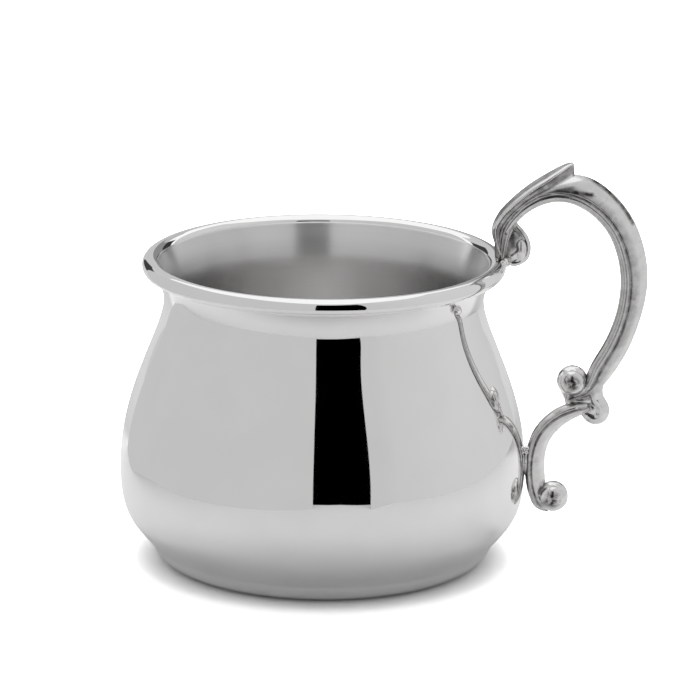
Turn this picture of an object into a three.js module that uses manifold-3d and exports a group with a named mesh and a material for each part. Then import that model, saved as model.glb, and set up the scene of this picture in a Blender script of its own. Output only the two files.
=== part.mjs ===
// Baby cup: a bellied cup on a low foot, with a beaded rim and a handle of two opposed scrolls.
// Millimetres, +Z up. The origin is the middle of the underside, and the handle points along +X.

import * as THREE from 'three';
import { mergeVertices } from 'three/addons/utils/BufferGeometryUtils.js';
import Module from 'manifold-3d';

// Cup wall, from the table up
const footRadius = 31.8;
const footToeDepth = 5.8;
const footCornerHeight = 3.5;
const footFilletBelow = 0.6;
const footFilletAbove = 0.9;
const footFlareAngle = 39;
const lowerBellyPull = 5;
const bellyRadius = 37.4;
const bellyHeight = 17.5;
const bellyPullBelow = 9;
const bellyPullAbove = 14.6;
const neckRadius = 29.35;
const neckBelowLip = 4.54;
const neckPullBelow = 6.4;
const neckPullAbove = 1.9;
const lipRadius = 31.2;
const lipFlareAngle = 35;
const lipPull = 1.2;
const wallThickness = 1.1;

// Rim bead, a round wire on the lip
const rimHeight = 57;
const beadRadius = 31.74;
const beadThickness = 3.16;

// Joints
const jointGap = 0.3;
const solderThickness = 0.5;
const solderHalfWidth = 1.7;
const rimSolderStart = 0.4;
const rimSolderReach = 2.3;
const bellySolderHeight = 6;

// Handle. Its drawing is measured in units, out from the belly seat and up from it
const bellySeatHeight = 18.5;
const drawingUnit = 1;
const scrollThickness = 4.4;
const thicknessPerWidth = 1.2;
const innerBandWidth = 1.7;
const innerBandThickness = 3.4;
const bandLap = 0.5;
const curlWebThickness = 1.8;
const ballRadius = 2.85;
const leafCrown = 0.9;
const leafEdge = 0.3;
const leafFlankDrop = 1.1;
const leafFlankHollow = 0.35;
const leafKeelHalfWidth = 1.5;

// How finely the round shapes are divided
const turnSteps = 64;
const beadSides = 12;
const toeSteps = 6;
const roundingSteps = 3;
const bellySteps = 8;
const narrowBandSides = 8;
const broadBandSides = 12;
const stepsPerStation = 2;
const ballTurnSteps = 20;
const ballRiseSteps = 12;
const shortestEdge = 0.01;
const leastVolume = 0.01;

const beadCentreHeight = rimHeight - beadThickness / 2;
const lipHeight = beadCentreHeight - beadThickness / 2 - jointGap;
const neckHeight = lipHeight - neckBelowLip;
const rimSeatRadius = beadRadius + beadThickness / 2;

const wasm = await Module();
wasm.setup();

// Solids and joins

function toSolid(geometry) {
  const bare = new THREE.BufferGeometry();
  bare.setAttribute('position', geometry.getAttribute('position'));
  bare.setIndex(geometry.getIndex());
  const merged = mergeVertices(bare);
  const corners = merged.getIndex().array;
  const kept = [];
  for (let i = 0; i < corners.length; i += 3) {
    const [a, b, c] = corners.slice(i, i + 3);
    if (a !== b && b !== c && c !== a) kept.push(a, b, c);
  }
  const positions = new Float32Array(merged.getAttribute('position').array);
  const mesh = new wasm.Mesh({ numProp: 3, vertProperties: positions, triVerts: new Uint32Array(kept) });
  return new wasm.Manifold(mesh);
}

function toGeometry(solid) {
  const mesh = solid.getMesh();
  const geometry = new THREE.BufferGeometry();
  geometry.setAttribute('position', new THREE.BufferAttribute(new Float32Array(mesh.vertProperties), 3));
  geometry.setIndex(new THREE.BufferAttribute(new Uint32Array(mesh.triVerts), 1));
  geometry.computeVertexNormals();
  return geometry;
}

// A solid without the short edges and empty slivers that cuts and face-to-face joins leave
function cleaned(solid) {
  const bodies = solid.simplify(shortestEdge).decompose();
  return wasm.Manifold.union(bodies.filter((body) => body.volume() > leastVolume));
}

// Turned shapes. LatheGeometry turns about Y, so the result is stood up along Z

function turned(outline) {
  const geometry = new THREE.LatheGeometry(outline, turnSteps);
  geometry.rotateX(Math.PI / 2);
  return toSolid(geometry);
}

function direction(angleFromUpright) {
  const angle = THREE.MathUtils.degToRad(angleFromUpright);
  return new THREE.Vector2(Math.sin(angle), Math.cos(angle));
}

// The cup's outside, from the middle of the underside round the toe of the foot and up to the lip
function outerOutline() {
  const standRadius = footRadius - footToeDepth;
  const toeHeight = footCornerHeight - footFilletBelow;
  const flare = direction(footFlareAngle);
  const corner = new THREE.Vector2(footRadius, footCornerHeight);
  const flareStart = corner.clone().addScaledVector(flare, footFilletAbove);
  const flarePull = flareStart.clone().addScaledVector(flare, lowerBellyPull);
  const lip = new THREE.Vector2(lipRadius, lipHeight);
  const lipStart = lip.clone().addScaledVector(direction(lipFlareAngle), -lipPull);
  const path = new THREE.Path();
  path.moveTo(0, 0);
  path.lineTo(standRadius, 0);
  path.absellipse(standRadius, toeHeight, footToeDepth, toeHeight, -Math.PI / 2, 0);
  path.quadraticCurveTo(corner.x, corner.y, flareStart.x, flareStart.y);
  path.bezierCurveTo(flarePull.x, flarePull.y, bellyRadius, bellyHeight - bellyPullBelow,
    bellyRadius, bellyHeight);
  path.bezierCurveTo(bellyRadius, bellyHeight + bellyPullAbove, neckRadius, neckHeight - neckPullBelow,
    neckRadius, neckHeight);
  path.bezierCurveTo(neckRadius, neckHeight + neckPullAbove, lipStart.x, lipStart.y, lip.x, lip.y);
  const steps = [1, toeSteps, roundingSteps, bellySteps, bellySteps, roundingSteps];
  const points = path.curves.flatMap((curve, i) => curve.getPoints(steps[i]).slice(0, -1));
  return [...points, lip];
}

// The outline moved outwards by a distance, or inwards by a negative one
function offsetOutline(outline, distance) {
  return outline.map((point, i) => {
    const before = outline[Math.max(i - 1, 0)];
    const after = outline[Math.min(i + 1, outline.length - 1)];
    const along = after.clone().sub(before).normalize();
    const moved = new THREE.Vector2(point.x + along.y * distance, point.y - along.x * distance);
    if (point.x === 0) moved.x = 0;
    return moved;
  });
}

function cupBody() {
  const outside = outerOutline();
  const inside = offsetOutline(outside, -wallThickness);
  return turned([...outside, ...inside.reverse()]);
}

// The solid that the cup's outside fills, grown by a distance, for what is seated on the wall
function grownCup(distance) {
  const outside = offsetOutline(outerOutline(), distance);
  const top = outside[outside.length - 1];
  return turned([...outside, new THREE.Vector2(0, top.y)]);
}

// The rim bead, or the same ring grown by a distance, for what is seated on it
function beadRing(growth = 0) {
  const circle = [];
  for (let i = 0; i <= beadSides; i += 1) {
    const angle = (i % beadSides) * 2 * Math.PI / beadSides;
    const radius = beadThickness / 2 + growth;
    circle.push(new THREE.Vector2(
      beadRadius + radius * Math.cos(angle),
      beadCentreHeight + radius * Math.sin(angle),
    ));
  }
  return turned(circle);
}

// Handle

// A point of the handle's drawing, stretched to fit between the belly seat and the rim seat
function onHandle(out, up) {
  const [rimOut, rimUp] = rimSeatPlace;
  const share = up / rimUp;
  const lean = rimSeatRadius - bellyRadius - rimOut * drawingUnit;
  const x = bellyRadius + out * drawingUnit + lean * share;
  const z = bellySeatHeight + share * (beadCentreHeight - bellySeatHeight);
  return new THREE.Vector3(x, 0, z);
}

// A closed body through equal rings of points, with flat ends
function loft(rings) {
  const sides = rings[0].length;
  const corners = [];
  for (let ring = 0; ring + 1 < rings.length; ring += 1) {
    for (let side = 0; side < sides; side += 1) {
      const next = (side + 1) % sides;
      const a = ring * sides + side;
      const b = ring * sides + next;
      corners.push(a, b, b + sides, a, b + sides, a + sides);
    }
  }
  const last = (rings.length - 1) * sides;
  for (let side = 1; side + 1 < sides; side += 1) {
    corners.push(0, side + 1, side);
    corners.push(last, last + side, last + side + 1);
  }
  const geometry = new THREE.BufferGeometry().setFromPoints(rings.flat());
  geometry.setIndex(corners);
  return toSolid(geometry);
}

// A rounded band's section, from start to end across it
function bandSection(start, end, halfThickness, sides) {
  const points = [];
  for (let i = 0; i < sides; i += 1) {
    const angle = i * 2 * Math.PI / sides;
    const across = (start + end - (end - start) * Math.cos(angle)) / 2;
    points.push([across, halfThickness * Math.sin(angle)]);
  }
  return points;
}

// A scroll's section: a narrow band towards the cup and a broad one away from it, with a groove between
function scrollSection(width, growth) {
  const broadHalf = Math.min(scrollThickness, thicknessPerWidth * width) / 2;
  const narrowHalf = Math.min(innerBandThickness / 2, broadHalf);
  const groove = Math.min(innerBandWidth, width / 2) - width / 2;
  const reach = Math.min(bandLap, width / 4) / 2 + growth;
  return [
    bandSection(-width / 2 - growth, groove + reach, narrowHalf + growth, narrowBandSides),
    bandSection(groove - reach, width / 2 + growth, broadHalf + growth, broadBandSides),
  ];
}

// A scroll that follows stations of [out, up, width], optionally grown on every side
function scroll(stations, growth = 0) {
  const route = new THREE.CatmullRomCurve3(stations.map(([out, up, width]) => {
    const centre = onHandle(out, up);
    return new THREE.Vector3(centre.x, width * drawingUnit, centre.z);
  }), false, 'centripetal');
  const steps = stepsPerStation * (stations.length - 1);
  const rings = [];
  for (let i = 0; i <= steps; i += 1) {
    const at = route.getPoint(i / steps);
    const ahead = route.getTangent(i / steps);
    const along = new THREE.Vector2(ahead.x, ahead.z).normalize();
    const place = ([across, through]) => [at.x - along.y * across, through, at.z + along.x * across];
    rings.push(scrollSection(at.y, growth).map((section) => section.map(place)));
  }
  const bands = rings[0].map((_, band) => wasm.Manifold.union(
    rings.slice(1).map((ring, i) => wasm.Manifold.hull([...rings[i][band], ...ring[band]])),
  ));
  return cleaned(wasm.Manifold.union(bands));
}

// The thin web that fills a curl's eye
function curlWeb(stations) {
  const faces = [-curlWebThickness / 2, curlWebThickness / 2];
  return wasm.Manifold.hull(stations.flatMap(([out, up]) => {
    const centre = onHandle(out, up);
    return faces.map((through) => [centre.x, through, centre.z]);
  }));
}

// A curl with its eye filled
function curl(stations) {
  return scroll(stations).add(curlWeb(stations));
}

// The upper scroll, from its root over the rim round to its tail under the ball
const upperStations = [
  [-4.5, 38.6, 2.8], [-4.2, 41.8, 3.3], [-3.75, 44.9, 3.4], [-2.2, 47.5, 3.5], [0.2, 49.9, 3.8],
  [4.2, 51.6, 4.5], [8.9, 51.7, 5.8], [13.1, 49.2, 5.6], [16.7, 44.9, 5.3], [18.8, 39.1, 5.15],
  [19.25, 33.7, 4.95], [18.25, 27.8, 4.6], [16.2, 22.2, 4.6], [13.5, 17.6, 4.4], [11.9, 14.7, 3.2],
  [10, 13, 1.9], [8, 12.45, 1],
];
// The curl of the upper scroll's root, from inside the scroll out and up to the notch
const rootCurlStations = [
  [-4, 39.9, 2.6], [-2.8, 38.5, 2.9], [-1.2, 39.4, 2.9], [-0.9, 41.2, 2.5], [-1.5, 43.2, 1.8],
  [-2.1, 44.3, 0.9],
];
// The lower scroll, from its outer curl down past the belly seat to the lower ball
const lowerStations = [
  [12.3, 11.4, 1.7], [11.2, 10.9, 2.2], [8.8, 10.1, 3], [6, 8.6, 3.4], [3.3, 5.7, 3.6],
  [2.05, 2.3, 3.6], [1.85, -0.9, 3.7], [2.1, -4.2, 3.6], [2.4, -6.4, 3], [2.95, -7.8, 2.4],
  [3.8, -8.7, 1.5], [4.2, -8.95, 1],
];
// The curl of the lower scroll, from its tip under the scroll round to the top of the scroll
const outerCurlStations = [
  [12.2, 10.5, 1.5], [11.5, 9.55, 2.1], [12.6, 9, 2.6], [13.67, 9.94, 2.6], [13.6, 11.1, 2.6],
  [12.5, 11.7, 2.4], [11.2, 11.1, 2.2],
];
const rimSeatPlace = [-4.1, 36.9];
const upperBallPlace = [8.4, 15.75];
const lowerBallPlace = [5.3, -6.5];

// The leaf's stations: ridge [out, up], keel [out, up] and half width
const leafStations = [
  [[-5.2, 38.7], [-4.4, 39.1], 0.9], [[-6.4, 41.5], [-4.8, 41.7], 1.5],
  [[-6.95, 44.1], [-4.6, 44.4], 2], [[-5.8, 47.1], [-3.5, 46.1], 2.4],
  [[-3.3, 50], [-1.8, 48.1], 2.8], [[-0.1, 52.7], [1, 50.2], 3],
  [[2.8, 54.6], [3.8, 51.5], 2.9], [[5.3, 56.05], [6, 51.9], 2.2],
  [[7, 56.9], [7.6, 52.1], 1], [[7.7, 57.1], [7.9, 52.1], 0.3],
];

// The leaf's section: a crowned top, a thin edge and hollow flanks down to the keel
function leafSection(depth, halfWidth) {
  const flank = Math.min(leafKeelHalfWidth, halfWidth);
  const crown = Math.min(leafCrown, halfWidth / 2);
  const edge = crown + leafEdge;
  const side = [
    [halfWidth / 2, crown / 4],
    [halfWidth, crown],
    [halfWidth, edge],
    [(flank + halfWidth) / 2, edge + leafFlankDrop * leafFlankHollow],
    [flank, edge + leafFlankDrop],
    [flank, depth],
  ].map(([through, down]) => [through, Math.min(down, depth)]);
  const mirrored = side.map(([through, down]) => [-through, down]);
  return [[0, 0], ...mirrored, ...side.reverse()];
}

function leafBlank() {
  const curve = (pick) => new THREE.CatmullRomCurve3(leafStations.map(pick), false, 'centripetal');
  const ridge = curve(([top]) => onHandle(...top));
  const keel = curve(([, bottom]) => onHandle(...bottom));
  const spread = curve(([top, , halfWidth]) => onHandle(...top).setY(halfWidth * drawingUnit));
  const steps = stepsPerStation * (leafStations.length - 1);
  const rings = [];
  for (let i = 0; i <= steps; i += 1) {
    const top = ridge.getPoint(i / steps);
    const down = keel.getPoint(i / steps).sub(top);
    const depth = down.length();
    down.normalize();
    rings.push(leafSection(depth, spread.getPoint(i / steps).y).map(([through, drop]) =>
      new THREE.Vector3(top.x + down.x * drop, through, top.z + down.z * drop)));
  }
  return loft(rings);
}

function ballShape(radius) {
  return new THREE.SphereGeometry(radius, ballTurnSteps, ballRiseSteps);
}

// A ball terminal's space, grown by a distance, for the scroll that holds it
function ballSpace([out, up], growth) {
  const geometry = ballShape(ballRadius + growth);
  geometry.translate(...onHandle(out, up).toArray());
  return toSolid(geometry);
}

// What the handle's root is cut by: the bead, the solder on it and a gap
function rimSeat() {
  return beadRing(jointGap + solderThickness + jointGap);
}

function upperScroll() {
  return cleaned(scroll(upperStations)
    .add(curl(rootCurlStations))
    .subtract(rimSeat())
    .subtract(ballSpace(upperBallPlace, jointGap)));
}

function lowerScroll() {
  return cleaned(scroll(lowerStations)
    .add(curl(outerCurlStations))
    .subtract(grownCup(jointGap + solderThickness + jointGap))
    .subtract(ballSpace(lowerBallPlace, jointGap)));
}

function thumbLeaf() {
  return cleaned(leafBlank()
    .subtract(scroll(upperStations, jointGap))
    .subtract(rimSeat()));
}

function block(width, depth, height, place) {
  const geometry = new THREE.BoxGeometry(width, depth, height);
  geometry.translate(...place);
  return toSolid(geometry);
}

// Solder between the bead and the handle's root
function rimSolder() {
  const skin = beadRing(jointGap + solderThickness).subtract(beadRing(jointGap));
  const out = beadRadius + rimSolderStart + rimSolderReach / 2;
  const place = [out, 0, beadCentreHeight + rimSolderReach / 2];
  return skin.intersect(block(rimSolderReach, 2 * solderHalfWidth, rimSolderReach, place));
}

// Solder between the belly and the lower scroll
function bellySolder() {
  const skin = grownCup(jointGap + solderThickness).subtract(grownCup(jointGap));
  const place = [bellyRadius, 0, bellySeatHeight];
  return skin.intersect(block(bellySolderHeight, 2 * solderHalfWidth, bellySolderHeight, place));
}

// Finishes and assembly

function polished(color, roughness = 0.06) {
  return new THREE.MeshStandardMaterial({ color, roughness, metalness: 1 });
}

function piece(name, geometry, material) {
  const mesh = new THREE.Mesh(geometry, material);
  mesh.name = name;
  return mesh;
}

function ball(name, place, material) {
  const mesh = piece(name, ballShape(ballRadius), material);
  mesh.position.copy(onHandle(...place));
  return mesh;
}

const vessel = new THREE.Group();
vessel.add(piece('cup_body', toGeometry(cupBody()), polished(0xd2d2d4)));
vessel.add(piece('rim_bead', toGeometry(beadRing()), polished(0xd6d6d8)));

const handle = new THREE.Group();
handle.add(piece('upper_scroll', toGeometry(upperScroll()), polished(0xc4c4c6, 0.16)));
handle.add(piece('thumb_leaf', toGeometry(thumbLeaf()), polished(0xc8c8ca, 0.16)));
handle.add(ball('upper_ball', upperBallPlace, polished(0xc4c4c6, 0.14)));
handle.add(piece('lower_scroll', toGeometry(lowerScroll()), polished(0xc4c4c6, 0.16)));
handle.add(ball('lower_ball', lowerBallPlace, polished(0xc4c4c6, 0.14)));
handle.add(piece('rim_solder', toGeometry(rimSolder()), polished(0xdededf, 0.2)));
handle.add(piece('belly_solder', toGeometry(bellySolder()), polished(0xdededf, 0.2)));

const babyCup = new THREE.Group();
babyCup.add(vessel, handle);

export default babyCup;
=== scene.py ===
"""The looks of a baby cup: a polished bellied cup with a beaded rim and a cast scroll handle.

Metres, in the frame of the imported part: the origin is the middle of the underside, +Z is up and the
handle points along +X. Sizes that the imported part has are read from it, and shapes between them are
drawn here from a few driving dimensions.
"""

import logging
import math
from dataclasses import dataclass, field, replace
from enum import Enum
from typing import Iterable, Sequence, Union

import bmesh
import bpy
from mathutils import Matrix, Vector
from mathutils.geometry import interpolate_bezier
from mathutils.kdtree import KDTree


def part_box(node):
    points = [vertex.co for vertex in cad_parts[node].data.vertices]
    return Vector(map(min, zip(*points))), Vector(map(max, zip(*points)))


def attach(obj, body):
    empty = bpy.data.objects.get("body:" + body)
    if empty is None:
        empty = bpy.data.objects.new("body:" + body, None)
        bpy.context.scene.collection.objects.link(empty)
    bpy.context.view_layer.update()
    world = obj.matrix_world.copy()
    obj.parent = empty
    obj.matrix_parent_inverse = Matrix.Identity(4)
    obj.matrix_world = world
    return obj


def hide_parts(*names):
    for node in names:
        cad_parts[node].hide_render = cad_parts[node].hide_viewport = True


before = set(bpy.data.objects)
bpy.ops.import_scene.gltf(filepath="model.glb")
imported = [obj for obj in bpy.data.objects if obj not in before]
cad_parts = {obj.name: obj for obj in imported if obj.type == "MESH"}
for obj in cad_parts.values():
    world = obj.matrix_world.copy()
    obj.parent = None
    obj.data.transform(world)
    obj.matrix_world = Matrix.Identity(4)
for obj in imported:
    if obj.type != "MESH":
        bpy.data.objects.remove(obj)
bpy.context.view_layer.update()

LOG = logging.getLogger("baby_cup")
BODY = "root"
# The vertex attribute that holds each piece's patina, painted shade and painted reflections
PATINA_AND_SHADE = "patina_and_shade"
MM = 0.001
PATINA_AND_SHADE_REACH = 0.7 * MM
CORE_SHARE = 0.955
WELD_DISTANCE = 1e-7
SHORTEST_GAP = 1e-6
LUMP_SUBDIVISIONS = 4
BACKDROP_DISTANCE = 500.0
# The dark colour of tarnish, pits and patina, and of painted shade and painted reflections
TARNISH_AND_SHADE = (0.06, 0.055, 0.05, 1)
WHITE = (1, 1, 1, 1)
# The Mix node's colour sockets, by place because its number sockets have the same names
MIX_FIRST, MIX_SECOND, MIX_RESULT = 6, 7, 2

Shape = bmesh.types.BMesh
Socket = bpy.types.NodeSocket
Point = tuple[float, float]
Station = tuple[float, float, float]
Colour = tuple[float, float, float, float]
Marks = Sequence[tuple[Vector, float]]
Operand = Union["Value", float]


class Slot(Enum):
    """The record's material slots."""

    WALL = "polished_wall"
    WIRE = "polished_wire"
    CAST = "cast_metal"
    SOLDER = "solder"


# Shader nodes


@dataclass(frozen=True)
class Value:
    """A number on a shader socket. Arithmetic on it adds Math nodes."""

    shader: "Shader"
    socket: Socket

    def _math(self, operation: str, first: Operand, second: Operand) -> "Value":
        """The result of a Math node."""
        node = self.shader.node("ShaderNodeMath", {"operation": operation}, {0: first, 1: second})
        return Value(self.shader, node.outputs["Value"])

    def __add__(self, other: Operand) -> "Value":
        """The sum."""
        return self._math("ADD", self, other)

    def __sub__(self, other: Operand) -> "Value":
        """The difference."""
        return self._math("SUBTRACT", self, other)

    def __rsub__(self, other: float) -> "Value":
        """The difference, with the number first."""
        return self._math("SUBTRACT", other, self)

    def __mul__(self, other: Operand) -> "Value":
        """The product."""
        return self._math("MULTIPLY", self, other)

    def __pow__(self, other: Operand) -> "Value":
        """The power."""
        return self._math("POWER", self, other)

    __radd__ = __add__
    __rmul__ = __mul__

    def direction(self, y: "Value") -> "Value":
        """The angle round from X of the point that has this as its X and y as its Y."""
        return self._math("ARCTAN2", y, self)

    def between(self, low: float, high: float) -> "Value":
        """Goes smoothly from 0 where this is low to 1 where it is high."""
        node = self.shader.node("ShaderNodeMapRange", {"interpolation_type": "SMOOTHSTEP"},
                                {"Value": self, "From Min": low, "From Max": high})
        return Value(self.shader, node.outputs["Result"])


class Shader:
    """A material's nodes, each added by one method."""

    def __init__(self, name: str) -> None:
        """Starts an empty material.

        Args:
            name: The material's name.
        """
        self.material = bpy.data.materials.new(name)
        self.material.use_nodes = True
        self.tree = self.material.node_tree
        self.tree.nodes.clear()

    def node(self, kind: str, settings: dict | None = None, inputs: dict | None = None) -> bpy.types.Node:
        """Adds a node.

        Args:
            kind: The node's type.
            settings: Its settings, set first.
            inputs: The values or links of its sockets, by name or place.

        Returns:
            The node.
        """
        made = self.tree.nodes.new(kind)
        for name, value in (settings or {}).items():
            setattr(made, name, value)
        for key, value in (inputs or {}).items():
            given = value.socket if isinstance(value, Value) else value
            if isinstance(given, Socket):
                self.tree.links.new(given, made.inputs[key])
            else:
                made.inputs[key].default_value = given
        return made

    def value(self, node: bpy.types.Node, output: str) -> Value:
        """A node's output as a number."""
        return Value(self, node.outputs[output])

    def place(self) -> Socket:
        """The point's place on the object."""
        return self.node("ShaderNodeTexCoord").outputs["Object"]

    def along(self, axis: str) -> Value:
        """How far along an axis the point is."""
        return self.value(self.node("ShaderNodeSeparateXYZ", {}, {"Vector": self.place()}), axis)

    def noise(self, place: Socket, size: float, detail: float = 2.0) -> Value:
        """Noise about 0.5, whose features are as wide as size, in the units of place."""
        node = self.node("ShaderNodeTexNoise", {}, {"Vector": place, "Scale": 1 / size, "Detail": detail})
        return self.value(node, "Fac")

    def turned_place(self, around: float) -> Socket:
        """The place as radius, angle and height, for marks that run round the axis.

        Args:
            around: How much a full turn counts, in metres, beside radius and height.

        Returns:
            The vector of the three.
        """
        x = self.along("X")
        y = self.along("Y")
        radius = (x * x + y * y) ** 0.5
        angle = x.direction(y) * (around / math.tau)
        node = self.node("ShaderNodeCombineXYZ", {}, {"X": radius, "Y": angle, "Z": self.along("Z")})
        return node.outputs["Vector"]

    def blend(self, share: Value, first: Colour, second: Colour) -> Socket:
        """A colour that goes from the first to the second as the share goes from 0 to 1."""
        node = self.node("ShaderNodeMix", {"data_type": "RGBA"},
                         {"Factor": share, MIX_FIRST: first, MIX_SECOND: second})
        return node.outputs[MIX_RESULT]

    def finish(self, surface: bpy.types.Node, output: str = "BSDF") -> bpy.types.Material:
        """Puts a surface on the material, and gives the material."""
        self.node("ShaderNodeOutputMaterial", {}, {"Surface": surface.outputs[output]})
        return self.material


# Finishes


@dataclass(frozen=True)
class Metal:
    """A bright metal: its shade, its blotches of tarnish and haze, the unevenness of its surface, painted
    shade in hollows and between pieces, and patina, painted shade and painted reflections where its piece is
    marked.

    Each pair of edges says between which values of a noise its marks come in.
    """

    name: str
    shade: float = 0.93
    warmth: float = 0.004
    tarnish: float = 0.02
    tarnish_size: float = 9 * MM
    tarnish_edges: Point = (0.35, 0.65)
    gloss: float = 0.02
    haze: float = 0.02
    haze_size: float = 3 * MM
    haze_edges: Point = (0.35, 0.7)
    ripple: float = 0.0
    ripple_size: float = 2 * MM
    spun: float = 0.0
    spun_size: float = 0.25 * MM
    spun_edges: Point = (0.3, 0.7)
    spun_around: float = 4 * MM
    spun_tarnish: float = 0.5
    pits: float = 0.0
    pit_size: float = 0.9 * MM
    pit_edges: Point = (0.18, 0.28)
    pit_tarnish: float = 0.12
    pit_roughness: float = 0.1
    brushed: float = 0.0
    brushed_turn: float = 0.25
    # Painted shade in hollows, creases and between pieces, from ambient occlusion
    crevice_shade: float = 0.0
    crevice_width: float = 1.5 * MM
    crevice_edges: Point = (0.12, 0.6)
    crevice_roughness: float = 0.15
    shade_noise: float = 0.5
    shade_noise_size: float = 0.5 * MM
    shade_noise_edges: Point = (0.02, 0.2)
    patina_and_shade: float = 0.0
    patina_and_shade_size: float = 1.2 * MM
    patina_and_shade_edges: Point = (0.35, 0.6)
    patina_and_shade_roughness: float = 0.25
    mottled: float = 0.35

    def material(self) -> bpy.types.Material:
        """Makes the finish.

        Returns:
            The material.
        """
        shader = Shader(self.name)
        place = shader.place()
        dark = shader.noise(place, self.tarnish_size).between(*self.tarnish_edges) * self.tarnish
        roughness = shader.noise(place, self.haze_size).between(*self.haze_edges) * self.haze + self.gloss
        height = shader.noise(place, self.ripple_size, detail=1.0) * self.ripple
        if self.spun:
            lines = shader.noise(shader.turned_place(self.spun_around), self.spun_size)
            height = height + lines * self.spun
            dark = dark + lines.between(*self.spun_edges) * (self.tarnish * self.spun_tarnish)
        if self.pits:
            pit = 1 - shader.noise(place, self.pit_size, detail=0.0).between(*self.pit_edges)
            height = height - pit * self.pits
            dark = dark + pit * self.pit_tarnish
            roughness = roughness + pit * self.pit_roughness
        # Painted shade: darker and rougher where ambient occlusion finds the surface closed in, its edge
        # broken up by noise
        if self.crevice_shade:
            open_sky = shader.node("ShaderNodeAmbientOcclusion", {}, {"Distance": self.crevice_width})
            closed_in = 1 - shader.value(open_sky, "AO")
            shade_noise = (shader.noise(place, self.shade_noise_size, detail=1.0) - 0.5) * self.shade_noise
            crevice_shade_mask = (closed_in + shade_noise * closed_in.between(*self.shade_noise_edges)).between(*self.crevice_edges)
            dark = dark + crevice_shade_mask * self.crevice_shade
            roughness = roughness + crevice_shade_mask * self.crevice_roughness
        # Patina, painted shade and painted reflections: darker and rougher where the piece is marked, made
        # patchy by noise
        if self.patina_and_shade:
            marked = shader.value(shader.node("ShaderNodeAttribute", {"attribute_name": PATINA_AND_SHADE}), "Fac")
            patches = shader.noise(place, self.patina_and_shade_size).between(*self.patina_and_shade_edges)
            uneven = (patches - 0.5) * self.mottled + 1
            dark = dark + marked * uneven * self.patina_and_shade
            roughness = roughness + marked * self.patina_and_shade_roughness
        clean = (self.shade + self.warmth, self.shade, self.shade - self.warmth, 1)
        bump = shader.node("ShaderNodeBump", {}, {"Strength": 1.0, "Distance": 1.0, "Height": height})
        surface = shader.node("ShaderNodeBsdfPrincipled", {}, {
            "Base Color": shader.blend(dark, clean, TARNISH_AND_SHADE),
            "Metallic": 1.0,
            "Roughness": roughness,
            "Anisotropic": self.brushed,
            "Anisotropic Rotation": self.brushed_turn,
            "Normal": bump.outputs["Normal"],
        })
        return shader.finish(surface)


MIRROR_WALL = Metal("mirror_wall", ripple=0.02 * MM, ripple_size=14 * MM)
SATIN_INSIDE = Metal("satin_inside", shade=0.84, tarnish=0.03, tarnish_size=25 * MM, gloss=0.29, haze=0.04,
                     haze_size=12 * MM, spun=0.0004 * MM, spun_size=0.5 * MM, brushed=0.95)
MIRROR_WIRE = Metal("mirror_wire", ripple=0.01 * MM, ripple_size=6 * MM)
# The cast pieces are darkened by painted shade in hollows and between pieces, and by the patina, painted
# shade and painted reflections that they are marked with
CAST_METAL = Metal("cast_metal", shade=0.88, tarnish=0.09, tarnish_size=2.4 * MM, gloss=0.12, haze=0.06,
                   ripple=0.02 * MM, ripple_size=2 * MM, pits=0.004 * MM, pit_size=1.3 * MM,
                   crevice_shade=0.5, patina_and_shade=1.0)
BALL_METAL = Metal("ball_metal", shade=0.9, tarnish=0.12, tarnish_size=2 * MM, gloss=0.08, haze=0.06,
                   ripple=0.07 * MM, ripple_size=1.2 * MM, crevice_shade=0.6, patina_and_shade=1.0, patina_and_shade_size=0.8 * MM,
                   mottled=1.3)
SOLDER_METAL = Metal("solder_metal", shade=0.95, tarnish=0.1, tarnish_size=1 * MM, gloss=0.12, haze=0.1,
                     ripple=0.08 * MM, ripple_size=0.8 * MM)


# Shapes


def revolved(outline: Sequence[Point], steps: int) -> Shape:
    """Spins an outline round the axis.

    Args:
        outline: The outline's points, as radius and height.
        steps: How many steps the turn has.

    Returns:
        The closed shape.
    """
    shape = bmesh.new()
    corners = [shape.verts.new((radius, 0, height)) for radius, height in outline]
    edges = [shape.edges.new(pair) for pair in zip(corners, corners[1:])]
    bmesh.ops.spin(shape, geom=[*corners, *edges], cent=(0, 0, 0), axis=(0, 0, 1), dvec=(0, 0, 0),
                   angle=math.tau, steps=steps, use_merge=True, use_normal_flip=False, use_duplicate=False)
    bmesh.ops.remove_doubles(shape, verts=shape.verts, dist=WELD_DISTANCE)
    bmesh.ops.recalc_face_normals(shape, faces=shape.faces)
    return shape


def lofted(rings: Sequence[Sequence[Vector]]) -> Shape:
    """Extrudes a ring of points from place to place and closes both ends.

    Args:
        rings: The rings, each with the same count of points.

    Returns:
        The closed shape.
    """
    shape = bmesh.new()
    ring = [shape.verts.new(point) for point in rings[0]]
    edges = [shape.edges.new((ring[i - 1], ring[i])) for i in range(len(ring))]
    ends = [shape.faces.new(ring)]
    for points in rings[1:]:
        made = bmesh.ops.extrude_edge_only(shape, edges=edges)["geom"]
        fresh = {corner for corner in made if isinstance(corner, bmesh.types.BMVert)}
        edges = [edge for edge in made if isinstance(edge, bmesh.types.BMEdge)
                 and fresh.issuperset(edge.verts)]
        ring = [next(edge.other_vert(old) for edge in old.link_edges if edge.other_vert(old) in fresh)
                for old in ring]
        for corner, point in zip(ring, points):
            corner.co = point
    ends.append(shape.faces.new(ring))
    bmesh.ops.recalc_face_normals(shape, faces=shape.faces)
    return shape


def merged(shapes: Iterable[Shape]) -> Shape:
    """Puts several shapes in one, and frees them.

    Args:
        shapes: The shapes.

    Returns:
        One shape that holds them all.
    """
    whole = bmesh.new()
    for shape in shapes:
        part = bpy.data.meshes.new("part")
        shape.to_mesh(part)
        shape.free()
        whole.from_mesh(part)
        bpy.data.meshes.remove(part)
    return whole


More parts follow.
